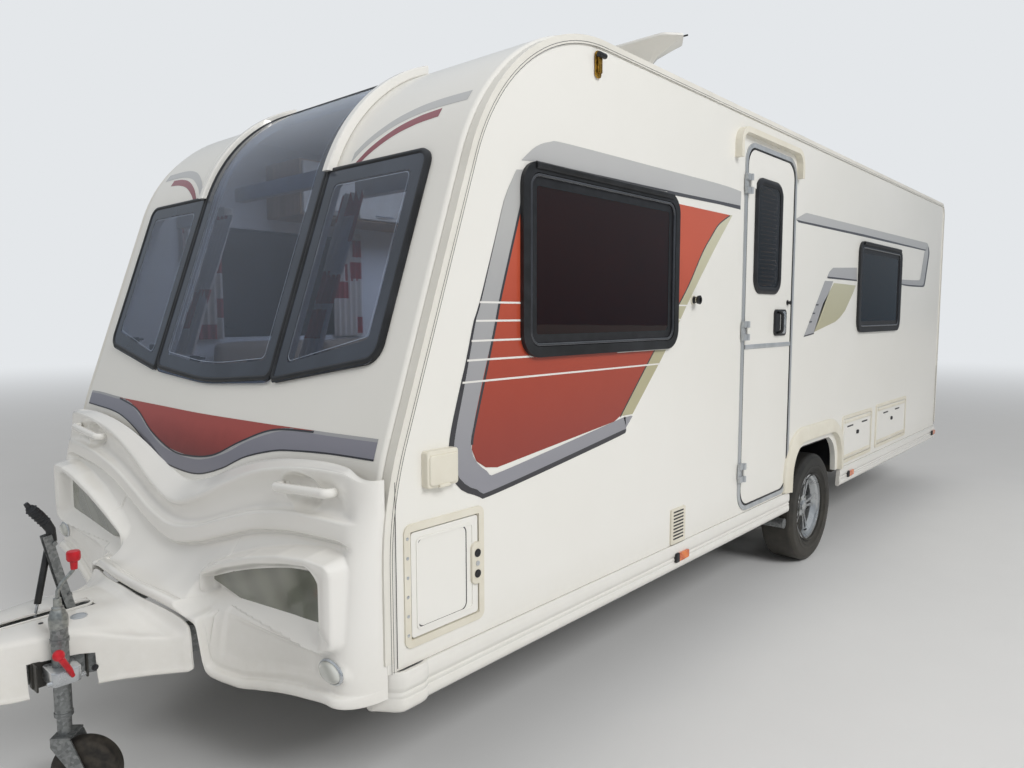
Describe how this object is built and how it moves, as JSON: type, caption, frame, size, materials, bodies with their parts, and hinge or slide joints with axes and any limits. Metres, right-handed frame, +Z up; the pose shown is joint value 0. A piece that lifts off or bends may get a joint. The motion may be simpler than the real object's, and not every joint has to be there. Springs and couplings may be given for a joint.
{
  "type": "touring caravan",
  "caption": "Touring caravan with leaning three-pane front, waved lower moulding, side door, hatches, drawbar with jockey wheel, and axle with alloy wheels.",
  "frame": {"origin": "on the ground under the middle of the overall length and width, as it stands on its road wheels and jockey wheel", "axes": "+X to the door side, -Y to the coupling, +Z up"},
  "size_m": [2.291, 7.3544, 2.624],
  "materials": {
    "shell": "gloss white coated sandwich panel",
    "moulding": "gloss white moulded plastic",
    "cream_plastic": "aged cream plastic",
    "door_trim": "silver grey trim",
    "black_plastic": "black plastic",
    "aluminium_rail": "painted aluminium extrusion",
    "galvanised_steel": "galvanised",
    "black_steel": "black paint",
    "rubber": "black rubber",
    "solid_tyre": "worn rubber",
    "tyre": "tyre rubber",
    "alloy": "silver painted alloy",
    "glazing": "smoked acrylic",
    "rooflight_acrylic": "clear acrylic",
    "lamp_clear": "clear lens",
    "lamp_red": "red lens",
    "lamp_amber": "amber lens",
    "floor_board": "coated board",
    "cabinet_wood": "wood veneer",
    "upholstery": "woven cover",
    "curtain_cloth": "patterned cloth"
  },
  "bodies": {
    "caravan": {"nearside_wall": "shell", "offside_wall": "shell", "front_panel": "shell", "rear_panel": "shell", "roof_panel": "shell", "front_moulding": "moulding", "side_skirts": "moulding", "drawbar_fairing": "moulding", "pane_rails": "moulding", "tail_moulding": "moulding", "door_frame": "door_trim", "door_canopy": "cream_plastic", "arch_trims": "cream_plastic", "hatch_frames": "cream_plastic", "wall_fittings": "cream_plastic", "grab_handles": "moulding", "awning_rails": "aluminium_rail", "chassis_members": "galvanised_steel", "cross_members": "galvanised_steel", "drawbar": "galvanised_steel", "axle": "galvanised_steel", "wheel_movers": "galvanised_steel", "steady_brackets": "galvanised_steel", "coupling_head": "black_steel", "bellows": "rubber", "handbrake_lever": "galvanised_steel", "jockey_post": "galvanised_steel", "front_panes": "glazing", "side_window_panes": "glazing", "front_seals": "rubber", "side_window_frames": "rubber", "front_lamps": "lamp_clear", "tail_lamps": "lamp_red", "side_markers": "lamp_amber", "floor_panel": "floor_board", "wheel_boxes": "black_plastic", "cabin_furniture": "cabinet_wood", "soft_furnishings": "upholstery", "curtains": "curtain_cloth", "aerial_foot": "cream_plastic"},
    "wheel_nearside": {"rim_nearside": "alloy", "tyre_nearside": "tyre"},
    "wheel_offside": {"rim_offside": "alloy", "tyre_offside": "tyre"},
    "jockey_castor": {"jockey_stem": "galvanised_steel"},
    "jockey_roller": {"jockey_wheel": "solid_tyre"},
    "entrance_door": {"door_leaf": "shell", "door_window": "glazing", "door_handle": "black_plastic"},
    "gas_hatch": {"gas_hatch_lid": "shell"},
    "bed_hatch": {"bed_hatch_lid": "shell"},
    "locker_hatch": {"locker_hatch_lid": "shell"},
    "cassette_hatch": {"cassette_hatch_lid": "shell"},
    "lounge_rooflight": {"rooflight_lid_lounge": "rooflight_acrylic"},
    "kitchen_rooflight": {"rooflight_lid_kitchen": "rooflight_acrylic"},
    "aerial": {"aerial_head": "cream_plastic"},
    "front_nearside_steady": {"steady_leg_front_nearside": "galvanised_steel"},
    "front_offside_steady": {"steady_leg_front_offside": "galvanised_steel"},
    "rear_nearside_steady": {"steady_leg_rear_nearside": "galvanised_steel"},
    "rear_offside_steady": {"steady_leg_rear_offside": "galvanised_steel"}
  },
  "joints": [
    {"name": "wheel_spin_nearside", "type": "hinge", "parent": "caravan", "child": "wheel_nearside", "pos_m": [1.0075, 0.6825, 0.32], "axis": [1, 0, 0], "continuous": true},
    {"name": "wheel_spin_offside", "type": "hinge", "parent": "caravan", "child": "wheel_offside", "pos_m": [-1.0075, 0.6825, 0.32], "axis": [1, 0, 0], "continuous": true},
    {"name": "jockey_swivel", "type": "hinge", "parent": "caravan", "child": "jockey_castor", "pos_m": [0.228, -3.0725, 0.3], "axis": [0, 0, 1], "continuous": true},
    {"name": "jockey_wheel_spin", "type": "hinge", "parent": "jockey_castor", "child": "jockey_roller", "pos_m": [0.27043, -3.03007, 0.1], "axis": [0.7071, -0.7071, 0], "continuous": true},
    {"name": "door_hinge", "type": "hinge", "parent": "caravan", "child": "entrance_door", "pos_m": [1.135, -0.3525, 1.39], "axis": [0, 0, -1], "range_deg": [0, 175]},
    {"name": "gas_hatch_hinge", "type": "hinge", "parent": "caravan", "child": "gas_hatch", "pos_m": [1.133, -2.4635, 0.716], "axis": [0, 0, -1], "range_deg": [0, 120]},
    {"name": "bed_hatch_hinge", "type": "hinge", "parent": "caravan", "child": "bed_hatch", "pos_m": [1.133, 1.4445, 0.534], "axis": [0, 1, 0], "range_deg": [0, 170]},
    {"name": "locker_hatch_hinge", "type": "hinge", "parent": "caravan", "child": "locker_hatch", "pos_m": [1.133, 2.2455, 0.542], "axis": [0, 1, 0], "range_deg": [0, 170]},
    {"name": "cassette_hatch_hinge", "type": "hinge", "parent": "caravan", "child": "cassette_hatch", "pos_m": [-1.133, 2.6765, 0.72], "axis": [0, 0, 1], "range_deg": [0, 120]},
    {"name": "lounge_rooflight_hinge", "type": "hinge", "parent": "caravan", "child": "lounge_rooflight", "pos_m": [0, -1.1935, 2.451], "axis": [1, 0, 0], "range_deg": [0, 60]},
    {"name": "kitchen_rooflight_hinge", "type": "hinge", "parent": "caravan", "child": "kitchen_rooflight", "pos_m": [0, 1.3565, 2.451], "axis": [1, 0, 0], "range_deg": [0, 60]},
    {"name": "aerial_turn", "type": "hinge", "parent": "caravan", "child": "aerial", "pos_m": [0.9, -0.9175, 2.5], "axis": [0, 0, 1], "range_deg": [-170, 170]},
    {"name": "front_nearside_steady_hinge", "type": "hinge", "parent": "caravan", "child": "front_nearside_steady", "pos_m": [0.82, -1.5375, 0.428], "axis": [1, 0, 0], "range_deg": [0, 60]},
    {"name": "front_offside_steady_hinge", "type": "hinge", "parent": "caravan", "child": "front_offside_steady", "pos_m": [-0.82, -1.5375, 0.428], "axis": [1, 0, 0], "range_deg": [0, 60]},
    {"name": "rear_nearside_steady_hinge", "type": "hinge", "parent": "caravan", "child": "rear_nearside_steady", "pos_m": [0.82, 2.6025, 0.428], "axis": [-1, 0, 0], "range_deg": [0, 60]},
    {"name": "rear_offside_steady_hinge", "type": "hinge", "parent": "caravan", "child": "rear_offside_steady", "pos_m": [-0.82, 2.6025, 0.428], "axis": [-1, 0, 0], "range_deg": [0, 60]}
  ]
}
